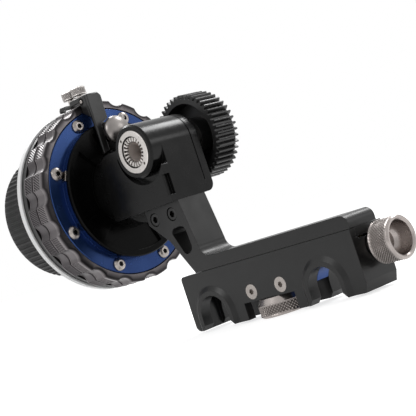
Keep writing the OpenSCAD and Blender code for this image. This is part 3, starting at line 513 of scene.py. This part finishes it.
def bracket():
    """The post with its head, the stepped bridge and the claw of the pointer."""
    post = prism([(8, 76.1), (11.4, 77.1), (11.4, 88.9), (15.6, 90.9), (15.8, 101.2),
                  (14.4, 102.9), (8, 102.9)], "x", -76.5, -74.8)
    piece = add_piece("stop_post_shaped", *post, "arm", "bracket_black")
    softened(piece, 0.5)
    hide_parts("stop_post")
    head = prism([(-80.7, 95.6), (-76.45, 93.0), (-76.45, 102.85), (-80.7, 102.85)],
                 "y", 8, 15.8)
    softened(add_piece("stop_post_head", *head, "arm", "bracket_black"), 0.3)
    parts = [box((-87.6, 8, 100.6), (-80.75, 15.8, 102.8)),
             box((-94.3, 10, 100.6), (-87.65, 15.8, 101.9))]
    piece = add_piece("stop_bridge_shaped", *joined(parts), "arm", "bracket_black")
    softened(piece, 0.3)
    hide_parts("stop_bridge")
    claw = prism([(-99.8, 100.5), (-99.2, 100.5), (-98.4, 101.3), (-94.4, 101.3),
                  (-94.4, 102.6), (-98.8, 102.9), (-99.8, 101.8)], "y", 10.9, 13.9)
    piece = add_piece("index_claw", *claw, "arm", "bracket_black")
    softened(piece, 0.25)
    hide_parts("index_pointer")
    pin = (-79.4, 100.6)
    end = lathe_y(pin, [(0, 7.7), (0.65, 7.7), (0.8, 7.85), (0.8, 8.4)])
    piece = add_piece("bridge_pin_end", *end, "arm", "screw_steel")
    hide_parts("bridge_pin")
    # painted shade: a dark ring put on the face round the pin, where its hole shows
    pin_hole_shade = lathe_y(pin, [(0.85, 7.93), (1.5, 7.93), (1.55, 8.0), (1.55, 8.3)])
    add_piece("bridge_pin_hole_shade", *pin_hole_shade, "arm", "flange_black")


def lathe_y(centre, profile, angles=32):
    """Open turned surface along Y of (radius, y) points round centre in X and Z."""
    verts = []
    for r, y in profile:
        for i in range(angles):
            a = 2 * math.pi * i / angles
            verts.append((centre[0] + r * math.cos(a), y, centre[1] + r * math.sin(a)))
    return verts, band_faces(len(profile), angles, closed=False)


def domed_knob():
    """The ball-shaped pull knob and the small pin in its side."""
    y, z = 15.0, 84.5
    ball = [(0, -80.5), (2, -80.5), (2, -76.1), (3.3, -76.1), (3.3, -74.4)]
    for a in range(-35, 90, 10):
        ball.append((6.2 * math.cos(math.radians(a)), -70.9 + 3.9 * math.sin(math.radians(a))))
    ball.append((0, -67.0))
    piece = revolve("domed_knob_ball", "x", (0, y, z), ball, "domed_knob", "dome_silver",
                    smooth=50)
    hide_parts("domed_knob")
    tilt = math.radians(48)
    out = np.array((0, math.cos(tilt), math.sin(tilt)))
    side = np.array((0, -math.sin(tilt), math.cos(tilt)))
    base = np.array((-71.0, y, z))
    angles = 32
    verts = []
    profile = [(1.5, 4.5), (1.5, 6.9), (1.25, 7.15), (0.6, 7.2)]
    for r, s in profile:
        for i in range(angles):
            a = 2 * math.pi * i / angles
            verts.append(base + out * s + np.array((1, 0, 0)) * r * math.cos(a)
                         + side * r * math.sin(a))
    faces = band_faces(len(profile), angles, closed=False, flipped=True)
    last = (len(profile) - 1) * angles
    faces.append(tuple(range(last, last + angles)))
    faces.append(tuple(range(angles))[::-1])
    add_piece("domed_knob_pin", verts, faces, "domed_knob", "dome_silver", 30)


def socket():
    """The drive axle with the serrated face of its socket."""
    angles = 22 * 12
    turn = np.arange(angles) * 2 * math.pi / angles
    wave = np.minimum(triangle_wave(turn * 22 / (2 * math.pi)) / 0.75, 1)
    rows = [(4.0, 31, 0), (4.0, -3.7, 0), (4.0, -3.75, 1), (4.35, -4.55, 1), (4.8, -4.7, 1),
            (5.3, -4.7, 1), (5.75, -4.7, 1), (5.85, -4.7, 0), (5.95, -4.6, 0),
            (5.95, -2.2, 0), (5, -2.2, 0), (5, 37, 0), (2, 37, 0), (2, 31, 0)]
    verts, groove = [], []
    for r, y, teeth in rows:
        drop = (1 - wave) * 0.75 * teeth
        along = np.full(angles, float(y)) + drop * (1 if r > 4.2 else 0)
        verts += list(zip(PORT_X + r * np.cos(turn), along, PORT_Z + r * np.sin(turn)))
        # painted shade in the valleys of the serrations
        groove += list(np.clip(drop * 1.7, 0, 1))
    piece = add_piece("drive_axle_socket", verts, band_faces(len(rows), angles), "output",
                      "port_silver", 30, groove)
    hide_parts("drive_axle")
    # painted light: the bore's wall lined with lighter metal; painted shade: a dark ring put in
    # the gap round the crown
    bore_painted_light = bare_metal("port_inside_painted_light", (0.62, 0.57, 0.54), (0.74, 0.69, 0.66), 0.62)
    verts, faces = lathe_y((PORT_X, PORT_Z), [(3.97, -3.6), (3.97, 9)], 64)
    add_piece("port_lining_painted_light", verts, [f[::-1] for f in faces], "output", "port_silver",
              mat=bore_painted_light)
    # a dark ring of painted shade in the gap round the crown
    angles = 64
    turn = np.arange(angles) * math.pi / (angles // 2)
    verts = [(PORT_X + r * math.cos(a), y, PORT_Z + r * math.sin(a))
             for r, y in ((6.38, -4.0), (5.98, -4.0), (5.98, -2.6), (6.38, -2.6))
             for a in turn]
    add_piece("port_gap_painted_shade", verts, band_faces(4, angles), "arm", "flange_black")


def cut_copy(node, name, body, slot, cutters):
    """A copy of a CAD node with convex prisms taken off, which takes its place."""
    source = NODES[node]
    piece = bpy.data.objects.new(name, source.data.copy())
    piece.matrix_world = source.matrix_world.copy()
    SCENE.collection.objects.link(piece)
    helpers = []
    for verts, faces in cutters:
        mesh = bpy.data.meshes.new("cutter")
        mesh.from_pydata((np.asarray(verts) * MM).tolist(), [], faces)
        cutter = bpy.data.objects.new("cutter", mesh)
        SCENE.collection.objects.link(cutter)
        cut = piece.modifiers.new("cut", "BOOLEAN")
        cut.operation = "DIFFERENCE"
        cut.solver = "EXACT"
        cut.object = cutter
        helpers.append(cutter)
    bpy.context.view_layer.update()
    cut = bpy.data.meshes.new_from_object(
        piece.evaluated_get(bpy.context.evaluated_depsgraph_get()))
    piece.modifiers.clear()
    shaped = bpy.data.meshes.new(name)
    shaped.from_pydata([v.co for v in cut.vertices], [], [f.vertices for f in cut.polygons])
    flat = bmesh.new()
    flat.from_mesh(shaped)
    bmesh.ops.remove_doubles(flat, verts=flat.verts, dist=2e-6)
    bmesh.ops.dissolve_limit(flat, angle_limit=math.radians(0.6), verts=flat.verts,
                             edges=flat.edges)
    flat.to_mesh(shaped)
    flat.free()
    piece.data = shaped
    for cutter in helpers:
        bpy.data.objects.remove(cutter, do_unlink=True)
    shaped.materials.append(MATS[slot])
    shaped.shade_smooth()
    shaped.set_sharp_from_angle(angle=math.radians(22))
    weighted = piece.modifiers.new("flat_faces", "WEIGHTED_NORMAL")
    weighted.keep_sharp = True
    weighted.weight = 100
    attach(piece, body)
    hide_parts(node)
    return piece


def housing():
    """The housing with its upper left corner rounded in front of the hub, and a fine
    groove where its rear cover meets it."""
    arc = [(-61 + 8 * math.cos(math.radians(a)), 66 + 8 * math.sin(math.radians(a)))
           for a in range(180, 89, -6)]
    wedge = [(-69.6, 66)] + arc + [(-61, 74.6), (-69.6, 74.6)]
    corner = prism(wedge, "y", -3.5, 1.2)

    def round_top(radius):
        arc = [(PORT_X + radius * math.cos(math.radians(a)),
                PORT_Z + radius * math.sin(math.radians(a))) for a in range(0, 181, 5)]
        return [(PORT_X + radius, 52)] + arc

    seam = prism(round_top(12.5) + round_top(10.6)[::-1], "y", 17.05, 18)
    cut_copy("gearbox_body", "gearbox_body_shaped", "arm", "housing_black", [corner, seam])


def small_trim():
    """The dovetail's end plug, the plate on the drum's step with a dark square of painted shade
    for its hole, and dark hexagons of painted shade in the sockets of the drum's screws."""
    groove = prism([(2.2, 14.1), (12.6, 14.1), (11.4, 17.3), (11.4, 17.42), (3.4, 17.42),
                    (3.4, 17.3)], "x", 47.85, 48.28)
    add_piece("dovetail_end", *groove, "clamp", "block_black")
    # clamp plate with its screw hole, on the side of the drum's step; the hole is a dark square
    # of painted shade on the plate
    turn = math.radians(157)
    out = np.array((0, math.cos(turn), math.sin(turn)))
    side = np.array((0, -math.sin(turn), math.cos(turn)))
    for name, x0, x1, half, low, high, slot in (
            ("drum_plate", -80.7, -78.35, 2.2, 29.4, 30.1, "screw_steel"),
            ("drum_plate_hole_painted_shade", -80.2, -79.1, 0.9, 29.9, 30.13, "flange_black")):
        centre = np.array((0, WHEEL_Y, WHEEL_Z))
        corners = [centre + np.array((x, 0, 0)) + side * w + out * r for r in (low, high)
                   for x, w in ((x0, -half), (x1, -half), (x1, half), (x0, half))]
        faces = [(3, 2, 1, 0), (4, 5, 6, 7), (0, 1, 5, 4), (1, 2, 6, 5), (2, 3, 7, 6),
                 (3, 0, 4, 7)]
        softened(add_piece(name, corners, faces, "arm", slot), 0.1)
    # painted shade: dark hexagons put in the hexagon sockets of the drum's screws
    painted_socket_shades = []
    screws, first, screws_r = 8, 20.9, 32.9
    for k in range(screws):
        a = math.radians(first + 360 / screws * k)
        y, z = WHEEL_Y + screws_r * math.cos(a), WHEEL_Z + screws_r * math.sin(a)
        hexagon = [(y + 1.1 * math.cos(a + b), z + 1.1 * math.sin(a + b))
                   for b in np.arange(6) * math.pi / 3]
        painted_socket_shades.append(prism(hexagon, "x", -80.6, -80.05))
    add_piece("drum_screw_socket_shades", *joined(painted_socket_shades), "arm", "flange_black")


knurled_knobs()
stop_rings()
bracket()
domed_knob()
socket()
housing()
small_trim()

# ---- stage -------------------------------------------------------------------


def seen_directly(tree):
    """1 for rays of the camera, of mirrors and of glass, which show the background."""
    path = tree.nodes.new("ShaderNodeLightPath")
    total = path.outputs["Is Camera Ray"]
    for name in ("Is Glossy Ray", "Is Transmission Ray"):
        high = tree.nodes.new("ShaderNodeMath")
        high.operation = "MAXIMUM"
        tree.links.new(total, high.inputs[0])
        tree.links.new(path.outputs[name], high.inputs[1])
        total = high.outputs[0]
    return total


def backdrop_material():
    """White where it is seen, with the object's shadow, and pale grey as it lights."""
    n = Nodes("backdrop")
    n.set(Roughness=0.9)
    n.shader.inputs["Specular IOR Level"].default_value = 0.0
    n.shader.inputs["Base Color"].default_value = (0.6, 0.6, 0.6, 1)
    n.shader.inputs["Emission Color"].default_value = (1, 1, 1, 1)
    glow = n.add("Math", operation="MULTIPLY")
    glow.inputs[1].default_value = 0.72
    n.link(seen_directly(n.tree), glow.inputs[0])
    n.link(glow.outputs[0], n.shader.inputs["Emission Strength"])
    return n.mat


def floor():
    """A pale floor at the height of the unit's lowest point."""
    mesh = bpy.data.meshes.new("floor")
    half, z = 6.0, CAD_BOX[0][2] - 0.0002
    mesh.from_pydata([(-half, -half, z), (half, -half, z), (half, half, z), (-half, half, z)],
                     [], [(0, 1, 2, 3)])
    mesh.materials.append(backdrop_material())
    piece = bpy.data.objects.new("floor", mesh)
    SCENE.collection.objects.link(piece)


def area_light(name, place, target, size, power, colour=(1, 1, 1)):
    light = bpy.data.lights.new(name, "AREA")
    light.shape = "RECTANGLE"
    light.size, light.size_y = size
    light.energy = power
    light.color = colour
    lamp = bpy.data.objects.new(name, light)
    lamp.location = place
    lamp.rotation_euler = (Vector(target) - Vector(place)).to_track_quat("-Z", "Y").to_euler()
    SCENE.collection.objects.link(lamp)


def world():
    """White where it is seen, and a plain soft light elsewhere."""
    sky = bpy.data.worlds.new("studio")
    SCENE.world = sky
    sky.use_nodes = True
    tree = sky.node_tree
    back = tree.nodes["Background"]
    back.inputs["Color"].default_value = (1, 1, 1, 1)
    level = tree.nodes.new("ShaderNodeMapRange")
    level.inputs["To Min"].default_value = 0.55
    level.inputs["To Max"].default_value = 1.0
    tree.links.new(seen_directly(tree), level.inputs["Value"])
    tree.links.new(level.outputs["Result"], back.inputs["Strength"])


floor()
world()
area_light("top", (-0.60, 0.25, 0.70), (-0.03, 0.01, 0.04), (0.45, 0.30), 5.0)
area_light("back", (0.05, 0.65, 0.72), (-0.0, 0.01, 0.03), (0.30, 0.25), 3.6)
area_light("right", (0.72, 0.60, 0.34), (-0.03, 0.01, 0.06), (0.25, 0.20), 0.75)
area_light("front", (-0.25, -0.80, 0.60), (-0.03, 0.01, 0.05), (0.40, 0.40), 1.8)
